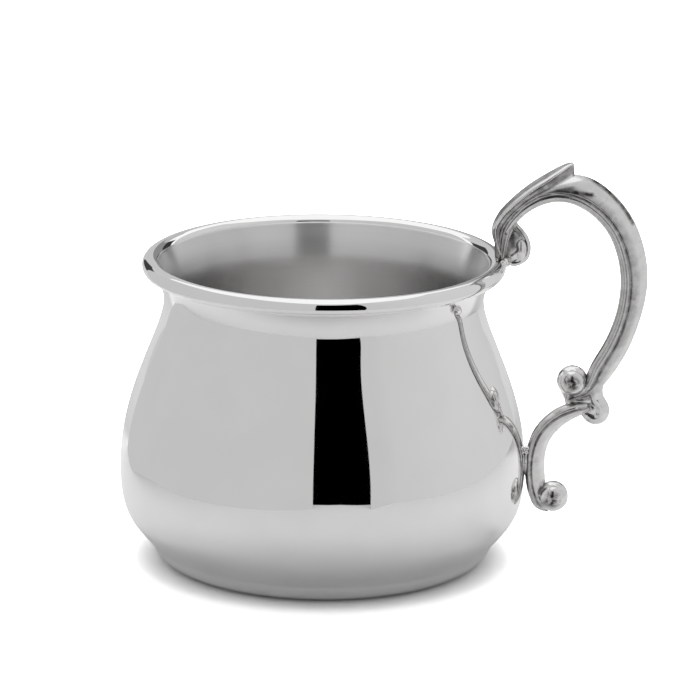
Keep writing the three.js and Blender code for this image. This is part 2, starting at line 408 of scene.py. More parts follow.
def round_lump(place: Vector, sizes: Vector) -> Shape:
    """A rounded lump.

    Args:
        place: Its middle.
        sizes: Its half sizes along X, Y and Z.

    Returns:
        The shape.
    """
    shape = bmesh.new()
    bmesh.ops.create_icosphere(shape, subdivisions=LUMP_SUBDIVISIONS, radius=1.0)
    bmesh.ops.scale(shape, vec=sizes, verts=shape.verts)
    bmesh.ops.translate(shape, vec=place, verts=shape.verts)
    return shape


def bezier(start: Point, pull: Point, end_pull: Point, end: Point, steps: int) -> list[Point]:
    """Points on a curve from start to end, drawn by its two handles, without its last point."""
    curve = interpolate_bezier(*(Vector((x, y, 0)) for x, y in (start, pull, end_pull, end)), steps + 1)
    return [(point.x, point.y) for point in curve[:-1]]


def spread(start: float, end: float, steps: int) -> list[float]:
    """Places from start to end that lie closer together near both."""
    return [start + (end - start) * (1 - math.cos(i * math.pi / steps)) / 2 for i in range(steps + 1)]


def through(points: Sequence[Vector], steps: int) -> list[Vector]:
    """A smooth path through points, by centripetal Catmull-Rom curves.

    Args:
        points: The points that it passes.
        steps: How many steps each stretch has.

    Returns:
        The path's points.
    """
    ends = [2 * points[0] - points[1], *points, 2 * points[-1] - points[-2]]
    path = []
    for a, b, c, d in zip(ends, ends[1:], ends[2:], ends[3:]):
        gaps = [max((q - p).length ** 0.5, SHORTEST_GAP) for p, q in ((a, b), (b, c), (c, d))]
        leave = ((b - a) / gaps[0] - (c - a) / (gaps[0] + gaps[1]) + (c - b) / gaps[1]) * gaps[1]
        arrive = ((c - b) / gaps[1] - (d - b) / (gaps[1] + gaps[2]) + (d - c) / gaps[2]) * gaps[1]
        for i in range(steps):
            t = i / steps
            path.append(b + leave * t + (3 * (c - b) - 2 * leave - arrive) * t ** 2
                        + (2 * (b - c) + leave + arrive) * t ** 3)
    return [*path, points[-1].copy()]


def evened(path: Sequence[Vector], passes: int) -> list[Vector]:
    """A path with its bends evened out and its ends kept.

    Args:
        path: The path's points.
        passes: How many times each point is drawn towards its neighbours.

    Returns:
        The evened path.
    """
    even = list(path)
    for _ in range(passes):
        even = [even[0], *((a + 2 * b + c) / 4 for a, b, c in zip(even, even[1:], even[2:])), even[-1]]
    return even


# Pieces


def in_scene(name: str, shape: Shape) -> bpy.types.Object:
    """Puts a shape in the scene.

    Args:
        name: The name of its object.
        shape: The shape, which is freed.

    Returns:
        The object.
    """
    mesh = bpy.data.meshes.new(name)
    shape.to_mesh(mesh)
    shape.free()
    thing = bpy.data.objects.new(name, mesh)
    bpy.context.scene.collection.objects.link(thing)
    return thing


def placed(name: str, shape: Shape, nodes: Sequence[str], finishes: Sequence[Metal]) -> None:
    """Makes a piece of the cup from a shape, and reports it.

    Args:
        name: The piece's name.
        shape: Its shape, which is freed.
        nodes: The CAD nodes that it stands for.
        finishes: Its finishes, in the order of the shape's material indices.
    """
    for face in shape.faces:
        face.smooth = True
    piece = in_scene(name, shape)
    for finish in finishes:
        piece.data.materials.append(finish.material())
    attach(piece, BODY)
    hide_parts(*nodes)
    LOG.info("%s: %d faces, finish %s", name, len(piece.data.polygons), finishes[0].name)


@dataclass(frozen=True)
class Casting:
    """How overlapping shapes run together into one skin, as cast metal does."""

    grain: float = 0.12 * MM
    passes: int = 9
    smoothing: float = 0.5

    def skin(self, shapes: Iterable[Shape]) -> Shape:
        """Joins shapes into one smooth skin.

        Args:
            shapes: Closed shapes that overlap.

        Returns:
            The skin.
        """
        pattern = in_scene("pattern", merged(shapes))
        remesh = pattern.modifiers.new("one_skin", "REMESH")
        remesh.mode = "VOXEL"
        remesh.voxel_size = self.grain
        smooth = pattern.modifiers.new("dressed", "SMOOTH")
        smooth.factor = self.smoothing
        smooth.iterations = self.passes
        graph = bpy.context.evaluated_depsgraph_get()
        cast = bpy.data.meshes.new_from_object(pattern.evaluated_get(graph))
        skin = bmesh.new()
        skin.from_mesh(cast)
        rough = pattern.data
        bpy.data.objects.remove(pattern)
        bpy.data.meshes.remove(cast)
        bpy.data.meshes.remove(rough)
        return skin


SCROLL_CASTING = Casting(grain=0.135 * MM)
LEAF_CASTING = Casting(passes=3)
SOLDER_CASTING = Casting(grain=0.1 * MM, passes=4)


def tree_of(points: Sequence[Vector]) -> KDTree:
    """Points in a tree that finds the nearest of them.

    Args:
        points: The points.

    Returns:
        The tree.
    """
    tree = KDTree(len(points))
    for i, point in enumerate(points):
        tree.insert(point, i)
    tree.balance()
    return tree


def with_patina_and_shade(skin: Shape, marks: Marks) -> Shape:
    """Gives a skin its patina and painted shade from marked points: all of it near them, and none beyond
    their reach.

    Args:
        skin: The skin.
        marks: Points near the skin, each with its patina and painted shade from 0 to 1.

    Returns:
        The skin.
    """
    nearest = tree_of([point for point, _ in marks])
    patina_and_shade = skin.verts.layers.float.new(PATINA_AND_SHADE)
    for corner in skin.verts:
        _, i, gap = nearest.find(corner.co)
        corner[patina_and_shade] = marks[i][1] * min(max(2 - 2 * gap / PATINA_AND_SHADE_REACH, 0), 1)
    return skin


def cast_scroll(main: "Scroll", joined: Iterable[Shape]) -> Shape:
    """A scroll whose curl and necks run into it with soft fillets, marked with its patina and painted shade.

    Args:
        main: The scroll.
        joined: The shapes that run into it.

    Returns:
        The scroll, and round it the fillets from a slightly smaller core.
    """
    section = replace(main.section, thickness=main.section.thickness * CORE_SHARE,
                      narrow_thickness=main.section.narrow_thickness * CORE_SHARE)
    stations = [(out, up, width * CORE_SHARE) for out, up, width in main.stations]
    core = replace(main, stations=stations, section=section)
    fillets = SCROLL_CASTING.skin([core.shape(), *joined])
    return with_patina_and_shade(merged([main.shape(), fillets]), main.marks())


@dataclass
class CupBody:
    """The spun wall, from its flat foot over the belly and the neck to the lip under the bead."""

    foot_radius: float = 31.8 * MM
    foot_toe_depth: float = 5.8 * MM
    foot_corner_height: float = 3.5 * MM
    foot_fillet_above: float = 0.5 * MM
    foot_flare: float = math.radians(39)
    toe_lean: float = math.radians(18)
    toe_pull: float = 2.4 * MM
    toe_end_pull: float = 3.6 * MM
    lower_belly_pull: float = 5 * MM
    belly_height: float = 17.5 * MM
    belly_pull_below: float = 9 * MM
    belly_pull_above: float = 14.6 * MM
    neck_radius: float = 29.35 * MM
    neck_height: float = 49 * MM
    neck_pull_below: float = 6.4 * MM
    neck_pull_above: float = 1.9 * MM
    lip_radius: float = 31.2 * MM
    lip_flare: float = math.radians(35)
    lip_pull: float = 1.2 * MM
    lip_rise_into_bead: float = 0.6 * MM
    lining_meets_bead: float = math.radians(160)
    lining_proud: float = 0.03 * MM
    lining_start_height: float = 51 * MM
    lining_tuck_share: float = 0.8
    lining_pull_share: float = 0.45
    lining_end_pull_share: float = 0.4
    wall: float = 1.1 * MM
    floor_faces_up: float = 0.5
    inside_faces_out: float = -0.05
    turn_steps: int = 288
    long_steps: int = 44
    short_steps: int = 8
    toe_steps: int = 16

    def outside(self) -> list[Point]:
        """The outline of the outside, from the middle of the underside to the lip.

        Returns:
            The points, as radius and height.
        """
        low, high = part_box("cup_body")
        belly = high.x
        lip_height = high.z
        sin, cos = math.sin(self.foot_flare), math.cos(self.foot_flare)
        above = (self.foot_radius + sin * self.foot_fillet_above,
                 self.foot_corner_height + cos * self.foot_fillet_above)
        corner = (self.foot_radius, self.foot_corner_height)
        toe_pull = (corner[0] - math.sin(self.toe_lean) * self.toe_pull,
                    corner[1] - math.cos(self.toe_lean) * self.toe_pull)
        pull = (above[0] + sin * self.lower_belly_pull, above[1] + cos * self.lower_belly_pull)
        lip_pull = (self.lip_radius - math.sin(self.lip_flare) * self.lip_pull,
                    lip_height - math.cos(self.lip_flare) * self.lip_pull)
        stand = self.foot_radius - self.foot_toe_depth
        rise = self.lip_rise_into_bead
        return [
            (0, low.z),
            *bezier((stand, low.z), (stand + self.toe_end_pull, low.z), toe_pull, corner, self.toe_steps),
            *bezier(corner, corner, above, above, self.short_steps)[::self.short_steps // 2],
            *bezier(above, pull, (belly, self.belly_height - self.belly_pull_below),
                    (belly, self.belly_height), self.long_steps),
            *bezier((belly, self.belly_height), (belly, self.belly_height + self.belly_pull_above),
                    (self.neck_radius, self.neck_height - self.neck_pull_below),
                    (self.neck_radius, self.neck_height), self.long_steps),
            *bezier((self.neck_radius, self.neck_height),
                    (self.neck_radius, self.neck_height + self.neck_pull_above),
                    lip_pull, (self.lip_radius, lip_height), 2 * self.short_steps),
            (self.lip_radius, lip_height),
            (self.lip_radius + rise * math.tan(self.lip_flare), lip_height + rise),
        ]

    def inside(self, outside: Sequence[Point]) -> list[Point]:
        """The outline of the inside, a wall's thickness within the outside, and flared out to the bead.

        Args:
            outside: The outside's outline.

        Returns:
            The points, from the middle of the floor to inside the bead.
        """
        within = []
        for i, (radius, height) in enumerate(outside):
            before = outside[max(i - 1, 0)]
            after = outside[min(i + 1, len(outside) - 1)]
            along = Vector((after[0] - before[0], after[1] - before[1])).normalized()
            inner = (radius - along.y * self.wall, height + along.x * self.wall)
            within.append(inner if radius > 0 else (0.0, inner[1]))
        below = [point for point in within if point[1] < self.lining_start_height]
        low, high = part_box("rim_bead")
        wire = (high.z - low.z) / 2
        centre = (high.x - wire, (high.z + low.z) / 2)
        towards = Vector((math.cos(self.lining_meets_bead), math.sin(self.lining_meets_bead)))
        top = Vector(centre) + towards * (wire + self.lining_proud)
        tuck = Vector(centre) + towards * wire * self.lining_tuck_share
        start, before = Vector(below[-1]), Vector(below[-2])
        rise = top.y - start.y
        pull = start + (start - before).normalized() * rise * self.lining_pull_share
        end_pull = top - Vector((towards.y, -towards.x)) * rise * self.lining_end_pull_share
        flare = bezier(below[-1], tuple(pull), tuple(end_pull), tuple(top), 2 * self.short_steps)
        return [*below[:-1], *flare, tuple(top), tuple(tuck)]

    def build(self) -> None:
        """Makes the wall, polished outside and satin inside."""
        outside = self.outside()
        shape = revolved([*outside, *reversed(self.inside(outside))], self.turn_steps)
        for face in shape.faces:
            middle = face.calc_center_median()
            outward = face.normal.dot(Vector((middle.x, middle.y, 0)).normalized())
            on_floor = middle.z < 2 * self.wall and face.normal.z > self.floor_faces_up
            face.material_index = int(on_floor or outward < self.inside_faces_out)
        placed("cup_wall", shape, ["cup_body"], [MIRROR_WALL, SATIN_INSIDE])


@dataclass
class RimBead:
    """The round wire on the lip."""

    turn_steps: int = 288
    sides: int = 48

    def build(self) -> None:
        """Makes the bead."""
        low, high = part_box("rim_bead")
        wire = (high.z - low.z) / 2
        radius = high.x - wire
        height = (high.z + low.z) / 2
        turns = [i * math.tau / self.sides for i in range(self.sides + 1)]
        outline = [(radius + wire * math.cos(turn), height + wire * math.sin(turn)) for turn in turns]
        placed("rim_wire", revolved(outline, self.turn_steps), ["rim_bead"], [MIRROR_WIRE])


@dataclass
class HandleDrawing:
    """The handle's drawing, in millimetres out from the belly's seat and up from it."""

    belly_seat_height: float = 18.5 * MM
    rim_seat: Point = (-4.1, 36.9)
    belly_radius: float = field(init=False)
    rim_radius: float = field(init=False)
    rim_height: float = field(init=False)

    def __post_init__(self) -> None:
        """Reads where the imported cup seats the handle."""
        self.belly_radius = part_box("cup_body")[1].x
        low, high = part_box("rim_bead")
        self.rim_radius = high.x
        self.rim_height = (low.z + high.z) / 2

    def place(self, out: float, up: float) -> Vector:
        """A point of the drawing on the cup.

        Args:
            out: Millimetres out from the belly's seat.
            up: Millimetres up from it.

        Returns:
            The point.
        """
        share = up / self.rim_seat[1]
        lean = self.rim_radius - self.belly_radius - self.rim_seat[0] * MM
        return Vector((self.belly_radius + out * MM + lean * share, 0,
                       self.belly_seat_height + share * (self.rim_height - self.belly_seat_height)))


@dataclass(frozen=True)
class ScrollSection:
    """A scroll's section: a narrow band towards the cup, a groove, and a broad band away from it."""

    thickness: float = 4.4 * MM
    thickness_per_width: float = 1.2
    narrow_width: float = 2 * MM
    narrow_thickness: float = 3.4 * MM
    lap: float = 0.5 * MM
    lap_share: float = 0.25
    crest: float = -0.55
    fall: float = 1.4
    round_fall: float = 2.0
    groove_depth: float = 0.32 * MM
    groove_half_width: float = 0.28 * MM
    groove_share: float = 0.125
    groove_patina: float = 0.75
    groove_patina_reach: float = 0.28 * MM
    # Painted shade on the narrow band, and on the broad band fading out from the groove
    narrow_painted_shade: float = 0.21
    broad_painted_shade: float = 0.38
    broad_painted_shade_reach: float = 1.8 * MM
    narrow_steps: int = 12
    broad_steps: int = 20

    def groove(self, width: float) -> float:
        """Where the middle of the groove lies across a section of this width."""
        return min(self.narrow_width, width / 2) - width / 2

    def half_thickness(self, across: float, width: float) -> float:
        """How thick half the section is at a place across it.

        Args:
            across: The place, from the section's middle.
            width: The section's whole width.

        Returns:
            The half thickness.
        """
        broad_half = min(self.thickness, self.thickness_per_width * width) / 2
        narrow_half = min(self.narrow_thickness / 2, broad_half)
        groove = self.groove(width)
        reach = min(self.lap, width * self.lap_share)
        thickest = 0.0
        for start, end, half in ((-width / 2, groove + reach, narrow_half),
                                 (groove - reach, width / 2, broad_half)):
            share = (2 * across - start - end) / (end - start)
            crest = self.crest if half == broad_half else 0.0
            fall = self.fall if share > crest and half == broad_half else self.round_fall
            share = (share - crest) / ((1 - crest) if share > crest else (1 + crest))
            thickest = max(thickest, half * max(1 - abs(share) ** fall, 0) ** (1 / fall))
        share = min(abs(across - groove) / self.groove_half_width, 1)
        cut = (1 - share * share) ** 2 * min(self.groove_depth, width * self.groove_share)
        return max(thickest - cut, 0)

    def patina_and_shade(self, across: float, width: float) -> float:
        """How dark a place across the section is: patina in the groove, and painted shade on the narrow band
        and beside the groove on the broad band.

        Args:
            across: The place, from the section's middle.
            width: The section's width.

        Returns:
            The darkening, from 0 to 1.
        """
        beyond = across - self.groove(width)
        in_groove = self.groove_patina * max(1 - (beyond / self.groove_patina_reach) ** 2, 0)
        if beyond < 0:
            return max(in_groove, self.narrow_painted_shade)
        return max(in_groove, self.broad_painted_shade * max(1 - (beyond / self.broad_painted_shade_reach) ** 2, 0))

    def points(self, width: float) -> list[Point]:
        """The section's outline.

        Args:
            width: The section's width.

        Returns:
            The points, each across the scroll and through it.
        """
        groove = self.groove(width)
        side = min(self.groove_half_width, width * self.groove_share)
        places = [*spread(-width / 2, groove - side, self.narrow_steps), groove - side / 2, groove,
                  groove + side / 2, *spread(groove + side, width / 2, self.broad_steps)]
        near = [(across, self.half_thickness(across, width)) for across in places]
        return [*near, *((across, -through) for across, through in reversed(near[1:-1]))]


@dataclass(frozen=True)
class RoundSection:
    """A round section, for the necks that run one form into the next."""

    sides: int = 28

    def points(self, width: float) -> list[Point]:
        """The section's outline, each point across the neck and through it."""
        turns = [i * math.tau / self.sides for i in range(self.sides)]
        return [(width / 2 * math.cos(turn), width / 2 * math.sin(turn)) for turn in turns]


@dataclass
class Scroll:
    """A scroll or curl that follows stations of out, up and width, in the drawing's millimetres."""

    drawing: HandleDrawing
    stations: Sequence[Station]
    section: ScrollSection | RoundSection = ScrollSection()
    steps: int = 9
    end_steps: int = 5
    end_opening: float = 0.5

    def marks(self) -> Marks:
        """Points on the scroll with their patina and painted shade.

        Returns:
            The points.
        """
        marks = []
        for knot, ring in zip(self.path(), self.rings()[self.end_steps:]):
            across = [place for place, _ in self.section.points(knot.y)]
            marks += [(point, self.section.patina_and_shade(place, knot.y)) for point, place in zip(ring, across)]
        return marks

    def path(self) -> list[Vector]:
        """The scroll's middle line.

        Returns:
            Its points, each with the scroll's width as Y.
        """
        knots = []
        for out, up, width in self.stations:
            middle = self.drawing.place(out, up)
            knots.append(Vector((middle.x, width * MM, middle.z)))
        return evened(through(knots, self.steps), self.steps)

    def rings(self) -> list[list[Vector]]:
        """The rings of points along the scroll, with rounded ends.

        Returns:
            The rings.
        """
        path = self.path()
        rings = []
        for i, knot in enumerate(path):
            along = path[min(i + 1, len(path) - 1)] - path[max(i - 1, 0)]
            rings.append(self._ring(knot, along, knot.y, 1.0))
        return [*self._end(path[1], path[0])[::-1], *rings, *self._end(path[-2], path[-1])]

    def _ring(self, knot: Vector, along: Vector, width: float, scale: float) -> list[Vector]:
        """One ring.

        Args:
            knot: The ring's middle, with the scroll's width as Y.
            along: The way the scroll goes there.
            width: The scroll's width there.
            scale: How much the ring is drawn in.

        Returns:
            The ring's points.
        """
        across = Vector((-along.z, 0, along.x)).normalized()
        middle = Vector((knot.x, 0, knot.z))
        return [middle + across * (place * scale) + Vector((0, through * scale, 0))
                for place, through in self.section.points(width)]

    def _end(self, before: Vector, last: Vector) -> list[list[Vector]]:
        """The rings that round an end, whose tip stays a little flat.

        Args:
            before: The path's point before its last.
            last: Its last point.

        Returns:
            The rings, from the end outwards.
        """
        along = last - before
        ahead = Vector((along.x, 0, along.z)).normalized()
        reach = last.y / 2
        rings = []
        for i in range(1, self.end_steps + 1):
            turn = i * math.pi / 2 / (self.end_steps + self.end_opening)
            knot = last + ahead * (reach * math.sin(turn))
            rings.append(self._ring(knot, ahead, last.y, math.cos(turn)))
        return rings

    def shape(self) -> Shape:
        """The scroll's closed shape."""
        return lofted(self.rings())


@dataclass(frozen=True)
class PaintedDarkLine:
    """A dark line of painted shade and painted reflection along a line of the handle's drawing, on both
    sides of the handle.
    """

    line: Sequence[Point]
    reach: float
    patina_and_shade: float
    steps: int = 24

    def put_on(self, skin: Shape, drawing: HandleDrawing) -> None:
        """Adds the painted dark line to a skin's patina and painted shade.

        Args:
            skin: The skin.
            drawing: The drawing that the line is in.
        """
        line = tree_of(through([drawing.place(*point) for point in self.line], self.steps))
        patina_and_shade = skin.verts.layers.float[PATINA_AND_SHADE]
        for corner in skin.verts:
            _, _, gap = line.find(Vector((corner.co.x, 0, corner.co.z)))
            fresh = self.patina_and_shade * max(1 - (gap / self.reach) ** 2, 0)
            corner[patina_and_shade] = max(corner[patina_and_shade], fresh)


@dataclass
class UpperScroll:
    """The large scroll, from its root over the rim round to its tail under the upper ball."""

    drawing: HandleDrawing
    stations: Sequence[Station] = (
        (-5.3, 38.7, 1.8), (-5.2, 41.5, 2.4), (-4.7, 44.4, 2.9), (-2.9, 47.2, 3.3), (0.2, 49.9, 3.8),
        (4.2, 51.6, 4.5), (8.9, 51.7, 5.8), (13.1, 49.2, 5.6), (16.7, 44.9, 5.3), (18.8, 39.1, 5.15),
        (19.25, 33.7, 4.95), (18.25, 27.8, 4.6), (16.2, 22.2, 4.6), (13.5, 17.6, 4.4), (11.9, 14.7, 3.2),
        (10, 13, 1.9), (8, 12.45, 1),
    )
    curl: Sequence[Station] = (
        (-4.2, 38.3, 1.2), (-2.87, 37.7, 1.3), (-0.67, 38.8, 1.3), (-0.3, 41.27, 1.3), (-1.26, 43.27, 1.3),
        (-2.4, 44.6, 1.2), (-3.3, 45.8, 1.0),
    )
    lobe: Point = (-1.5, 40.4)
    lobe_size: Station = (1, 1.15, 2.2)
    eye: Point = (-3.1, 41.2)
    eye_size: Station = (2.0, 0.85, 3.3)
    tail_web: Point = (10.2, 12.0)
    tail_web_size: Station = (2.5, 0.8, 1.0)
    drop: Sequence[Station] = (
        (8.4, 15.7, 5.1), (8.1, 14.9, 4.8), (7.85, 14, 3.7), (7.75, 13, 2.4), (7.75, 12.2, 1.5),
        (7.85, 11.3, 1.3),
    )
    heel: Sequence[Station] = (
        (13, 16.3, 3), (12.7, 14.8, 2.9), (12.75, 13.4, 2.75), (13.1, 12.2, 2.55), (13.65, 11.2, 2.2),
        (13.9, 10.4, 1.6),
    )
    # Painted shade and painted dark reflections: along the arc's outline, behind the leaf's tip, across the
    # broad band, and in the root curl's hollow and crease
    painted_dark_lines: Sequence[PaintedDarkLine] = (
        PaintedDarkLine(((8.5, 55.25), (11.65, 53.5), (13.35, 52.3), (15.8, 50), (17.65, 47.7), (18.6, 46)),
              0.42 * MM, 0.8),
        PaintedDarkLine(((8.6, 54.7), (10.2, 54.3)), 0.8 * MM, 0.4),
        PaintedDarkLine(((4.8, 52), (11.4, 51.15)), 0.36 * MM, 0.9),
        PaintedDarkLine(((8, 51.75), (11.2, 51.2)), 0.5 * MM, 0.95),
        PaintedDarkLine(((-4.2, 39.9), (-3.3, 41.5), (-2.1, 43.4)), 1.3 * MM, 0.5),
        PaintedDarkLine(((-2.2, 41.6), (-2.1, 40.4), (-3.2, 39.3)), 0.32 * MM, 0.8),
    )

    def build(self) -> None:
        """Makes the scroll, and paints its dark lines of shade and reflection on it."""
        skin = cast_scroll(Scroll(self.drawing, self.stations), [
            Scroll(self.drawing, self.curl, RoundSection()).shape(),
            round_lump(self.drawing.place(*self.lobe), Vector(self.lobe_size) * MM),
            round_lump(self.drawing.place(*self.eye), Vector(self.eye_size) * MM),
            round_lump(self.drawing.place(*self.tail_web), Vector(self.tail_web_size) * MM),
            Scroll(self.drawing, self.drop, RoundSection()).shape(),
            Scroll(self.drawing, self.heel, RoundSection()).shape(),
        ])
        for dark_line in self.painted_dark_lines:
            dark_line.put_on(skin, self.drawing)
        placed("upper_scroll_cast", skin, ["upper_scroll"], [CAST_METAL])


@dataclass
class LowerScroll:
    """The small scroll, from its outer curl down past the belly to its tail round the lower ball."""

    drawing: HandleDrawing
    narrow_width: float = 1.2 * MM
    # Painted shade on the broad band beside the groove
    broad_painted_shade: float = 0.16
    stations: Sequence[Station] = (
        (11.4, 10.9, 1.9), (10.4, 10.6, 2.5), (8.8, 10.1, 3), (6, 8.6, 3.4), (3.3, 5.7, 3.6),
        (2.05, 2.3, 3.6), (1.85, -0.9, 3.7), (2.1, -4.2, 3.6), (2.4, -6.4, 3), (2.95, -7.8, 2.4),
        (3.8, -8.7, 1.5), (4.2, -8.95, 1),
    )
    curl: Sequence[Station] = (
        (11.1, 9.4, 1.8), (12, 8.8, 2.3), (13, 8.65, 2.5), (13.95, 9.4, 2.7), (14.05, 10.5, 2.7),
        (13.5, 11.6, 2.7), (12.95, 12.6, 2.6), (12.75, 13.6, 2.1),
    )
    eye: Point = (12.2, 10.3)
    eye_size: Station = (1.4, 0.95, 1.4)
    bulb: Sequence[Station] = ((2.6, -6.2, 3.2), (3.1, -7.1, 3.5), (4, -7.3, 3.9), (5.1, -6.7, 4.7))

    def build(self) -> None:
        """Makes the scroll."""
        section = ScrollSection(narrow_width=self.narrow_width, broad_painted_shade=self.broad_painted_shade)
        skin = cast_scroll(Scroll(self.drawing, self.stations, section), [
            Scroll(self.drawing, self.curl, RoundSection()).shape(),
            round_lump(self.drawing.place(*self.eye), Vector(self.eye_size) * MM),
            Scroll(self.drawing, self.bulb, RoundSection()).shape(),
        ])
        placed("lower_scroll_cast", skin, ["lower_scroll"], [CAST_METAL])


@dataclass
class ThumbLeaf:
    """The leaf on the upper scroll's shoulder, which the thumb rests on."""

    drawing: HandleDrawing
    stations: Sequence[tuple[Point, Point, float]] = (
        ((-5.2, 38.7), (-4.4, 39.1), 0.9), ((-6.4, 41.5), (-4.8, 41.7), 1.5),
        ((-6.95, 44.1), (-4.6, 44.4), 2), ((-5.8, 47.1), (-3.5, 46.1), 2.4),
        ((-3.3, 50), (-1.8, 48.1), 2.8), ((-0.1, 52.7), (1, 50.2), 3),
        ((2.8, 54.6), (3.8, 51.5), 2.9), ((5.3, 56.05), (6, 51.9), 2.2),
        ((6.8, 56.7), (7.5, 52.1), 1.3), ((7.6, 56.75), (7.85, 52.1), 0.8), ((7.95, 56), (8, 52.1), 0.4),
    )
    fall: float = 0.17
    edge_radius: float = 0.62 * MM
    # A darker top, and painted shade on the flanks under the rounded edges
    top_darkening: float = 0.46
    flank_painted_shade: float = 0.54
    flank_drop: float = 1.1 * MM
    keel_share: float = 0.62
    steps: int = 9
    top_points: int = 4
    edge_points: int = 6
    flank_points: int = 7

    def section(self, depth: float, half_width: float) -> list[Point]:
        """The leaf's section: a nearly flat top, a rounded edge and hollow flanks down to the keel.

        Where the leaf is narrow, the edge's radius is a third of the half width.

        Args:
            depth: How far the keel lies under the ridge.
            half_width: Half the leaf's width.

        Returns:
            The points, each through the leaf and down from its ridge.
        """
        flank = half_width * self.keel_share
        radius = min(self.edge_radius, half_width / 3)
        level = half_width - radius
        top = [(share * level, share * level * self.fall)
               for share in (i / self.top_points for i in range(1, self.top_points + 1))]
        for i in range(1, self.edge_points + 1):
            turn = i * math.pi / 2 / self.edge_points
            top.append((level + radius * math.sin(turn),
                        level * self.fall + radius * (1 - math.cos(turn))))
        edge = top[-1][1]
        under = [(half_width + (flank - half_width) * share, edge + self.flank_drop * share ** 2)
                 for share in (i / self.flank_points for i in range(1, self.flank_points + 1))]
        side = [(across, min(down, depth)) for across, down in [*top, *under, (flank, depth)]]
        return [(0, 0), *side, *((-across, down) for across, down in reversed(side))]

    def rings(self) -> list[list[Vector]]:
        """The rings of points along the leaf.

        Returns:
            The rings.
        """
        ridge = through([self.drawing.place(*top) for top, _, _ in self.stations], self.steps)
        keel = through([self.drawing.place(*bottom) for _, bottom, _ in self.stations], self.steps)
        widths = through([Vector((i, half * MM, 0)) for i, (_, _, half) in enumerate(self.stations)],
                         self.steps)
        rings = []
        for top, bottom, width in zip(ridge, keel, widths):
            down = (bottom - top).normalized()
            rings.append([top + down * drop + Vector((0, across, 0))
                          for across, drop in self.section((bottom - top).length, width.y)])
        return rings

    def marks(self, rings: Sequence[Sequence[Vector]]) -> Marks:
        """Points on the leaf with their darkening: a darker top, painted shade on the flanks and none on the
        rounded edges.

        Args:
            rings: The leaf's rings.

        Returns:
            The points.
        """
        half = len(rings[0]) // 2 + 1
        side = [self.top_darkening] * self.top_points + [0.0] * (self.edge_points + 1)
        side += [self.flank_painted_shade] * (half - len(side))
        return [(point, side[min(i, len(ring) - i)]) for ring in rings for i, point in enumerate(ring)]

    def build(self) -> None:
        """Makes the leaf."""
        rings = self.rings()
        skin = with_patina_and_shade(LEAF_CASTING.skin([lofted(rings)]), self.marks(rings))
        placed("thumb_leaf_cast", skin, ["thumb_leaf"], [CAST_METAL])


@dataclass
class BallEnd:
    """A ball at a scroll's end. The neck that holds it belongs to the scroll."""

    name: str
    node: str
    sides: int = 96
    patina_and_shade: float = 1.0
    dark_reflection_reach: float = 0.62

    def build(self) -> None:
        """Makes the ball, with a painted dark reflection in the middle of its front and back."""
        low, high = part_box(self.node)
        middle = (low + high) / 2
        radius = (high.z - low.z) / 2
        turns = [i * math.pi / self.sides for i in range(self.sides + 1)]
        outline = [(radius * math.sin(turn), -radius * math.cos(turn)) for turn in turns]
        # The poles lie exactly on the axis
        outline[0] = (0, -radius)
        outline[-1] = (0, radius)
        shape = revolved(outline, 2 * self.sides)
        # Painted dark reflection, darkest in the middle of the ball's front and back
        patina_and_shade = shape.verts.layers.float.new(PATINA_AND_SHADE)
        for corner in shape.verts:
            aside = math.hypot(corner.co.x, corner.co.z) / radius
            corner[patina_and_shade] = self.patina_and_shade * max(1 - aside / self.dark_reflection_reach, 0)
        bmesh.ops.translate(shape, vec=middle, verts=shape.verts)
        placed(self.name, shape, [self.node], [BALL_METAL])


@dataclass
class SolderJoint:
    """Solder run in between the cup and the handle.

    A lump is its place from the middle of the node and its half sizes, in millimetres.
    """

    name: str
    node: str
    lumps: Sequence[tuple[Station, Station]]

    def build(self) -> None:
        """Makes the solder from lumps inside its node's place."""
        low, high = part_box(self.node)
        middle = (low + high) / 2
        skin = SOLDER_CASTING.skin(round_lump(middle + Vector(offset) * MM, Vector(sizes) * MM)
                                   for offset, sizes in self.lumps)
        placed(self.name, skin, [self.node], [SOLDER_METAL])


RIM_LUMPS = (
    ((0, 0, 0), (1.1, 1.5, 1.1)),
    ((-0.4, -1.3, 0.2), (0.5, 0.5, 0.4)),
    ((0.7, -1.3, -0.1), (0.5, 0.5, 0.4)),
)
BELLY_LUMPS = (
    ((0, 0, 0), (0.7, 1.4, 3.0)),
    ((0, -0.9, 2.9), (0.75, 0.6, 0.4)),
    ((0, -0.9, 2.1), (0.7, 0.6, 0.4)),
)


# Stage


def staged(name: str, shape: Shape, material: bpy.types.Material, seen: bool) -> bpy.types.Object:
    """Makes something that isn't part of the cup.

    Args:
        name: Its name.
        shape: Its shape, which is freed.
        material: Its material.
        seen: Whether the camera sees it.

    Returns:
        The object.
    """
    thing = in_scene(name, shape)
    thing.data.materials.append(material)
    thing.visible_camera = seen
    return thing


def upright(foot: Sequence[Point], tops: Sequence[float]) -> Shape:
    """A sheet that stands on the table.

    Args:
        foot: Its foot's corners, in millimetres.
        tops: How high it is above each of them, in metres.

    Returns:
        The shape.
    """
    shape = bmesh.new()
    corners = [shape.verts.new((x * MM, y * MM, 0)) for x, y in foot]
    edges = [shape.edges.new(pair) for pair in zip(corners, corners[1:])]
    raised = bmesh.ops.extrude_edge_only(shape, edges=edges)["geom"]
    upper = [corner for corner in raised if isinstance(corner, bmesh.types.BMVert)]
    for low, top in zip(corners, tops):
        high = next(edge.other_vert(low) for edge in low.link_edges if edge.other_vert(low) in upper)
        high.co.z = top
    return shape


